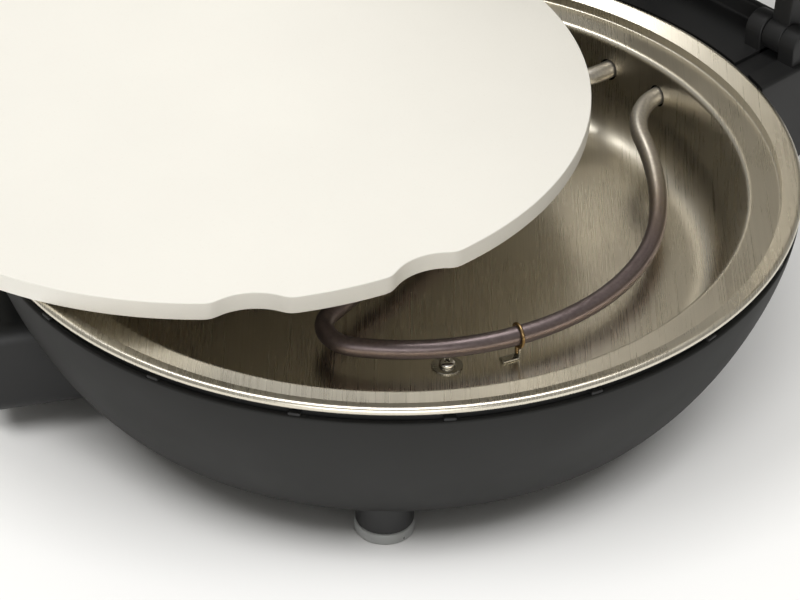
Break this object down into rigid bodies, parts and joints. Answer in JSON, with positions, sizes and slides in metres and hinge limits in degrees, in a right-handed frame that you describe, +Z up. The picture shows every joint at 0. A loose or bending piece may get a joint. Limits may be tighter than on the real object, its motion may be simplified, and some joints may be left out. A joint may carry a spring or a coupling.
{
  "type": "electric pizza maker",
  "caption": "Round countertop pizza oven: steel pan with a heating element, a ceramic stone on its rim, and a hinged domed lid.",
  "frame": {"origin": "on the table, under the middle of the round pan", "axes": "+Z up, +Y towards the hinge, -Y towards the lid's handle, +X to the right seen from the handle side"},
  "size_m": [0.4219, 0.4604, 0.521],
  "materials": {
    "shell_black": "dark grey heat-resistant plastic, matt",
    "trim_black": "black heat-resistant plastic, fine grain",
    "knob_black": "black phenolic plastic, satin",
    "foot_black": "black plastic, matt",
    "clear_rubber": "soft translucent silicone",
    "pan_steel": "stainless sheet, radially brushed",
    "plated_steel": "zinc-plated steel",
    "bracket_steel": "bright steel strip",
    "washer_steel": "plain steel washer",
    "screw_steel": "bright plated",
    "pin_steel": "ground steel",
    "shield_aluminium": "plain sheet",
    "element_oxide": "steel tube darkened brown-purple by heat",
    "ceramic": "white ceramic",
    "clip_brass": "brass wire",
    "wire_sleeve": "woven glass sleeve",
    "lamp_red": "clear red",
    "stone": "unglazed cream ceramic, fine grain",
    "marker_white": "white inlay"
  },
  "bodies": {
    "base": {"base_shell": "shell_black", "base_plate": "plated_steel", "base_plate_screws": "screw_steel", "support_ring": "trim_black", "foot_front_right": "foot_black", "foot_front_left": "foot_black", "foot_rear_left": "foot_black", "foot_rear_right": "foot_black", "foot_pads": "clear_rubber", "foot_screws": "screw_steel", "inner_pan": "pan_steel", "pan_washers": "washer_steel", "pan_screws": "screw_steel", "pan_spacers": "plated_steel", "pan_standoffs": "plated_steel", "heat_shield": "shield_aluminium", "lower_element": "element_oxide", "lower_ferrules": "ceramic", "lower_brackets": "bracket_steel", "lower_clips": "clip_brass", "terminal_block": "ceramic", "thermal_fuse": "plated_steel", "wiring": "wire_sleeve", "control_pod": "trim_black", "thermostat_body": "plated_steel", "lamp_holder": "ceramic", "lamp_lens": "lamp_red", "cord_gland": "trim_black", "gland_nut": "trim_black", "hinge_housing": "trim_black", "housing_screws": "screw_steel", "hinge_pins": "pin_steel"},
    "stone": {"pizza_stone": "stone"},
    "knob": {"thermostat_shaft": "pin_steel", "thermostat_knob": "knob_black", "knob_marker": "marker_white"},
    "lid": {"lid_shell": "shell_black", "lid_reflector": "pan_steel", "upper_element": "element_oxide", "upper_ferrules": "ceramic", "upper_brackets": "bracket_steel", "upper_clips": "clip_brass", "reflector_washers": "washer_steel", "reflector_screws": "screw_steel", "lid_handle": "knob_black", "handle_screws": "screw_steel", "hinge_arm_left": "trim_black", "hinge_arm_right": "trim_black", "arm_screws": "screw_steel"}
  },
  "joints": [
    {"name": "lid_hinge", "type": "hinge", "parent": "base", "child": "lid", "pos_m": [0, 0.192, 0.099], "axis": [1, 0, 0], "range_deg": [0, 90]},
    {"name": "stone_slide", "type": "slide", "parent": "base", "child": "stone", "axis": [0.9636, 0.2672, 0], "range_m": [0, 0.0906]},
    {"name": "knob_turn", "type": "hinge", "parent": "base", "child": "knob", "pos_m": [-0.09099, -0.14982, 0.034], "axis": [0.4695, 0.8829, 0], "range_deg": [0, 270]}
  ],
  "couplings": [
    {"joint": "stone_slide", "follows": "lid_hinge", "m_per_rad": 0.057614}
  ]
}
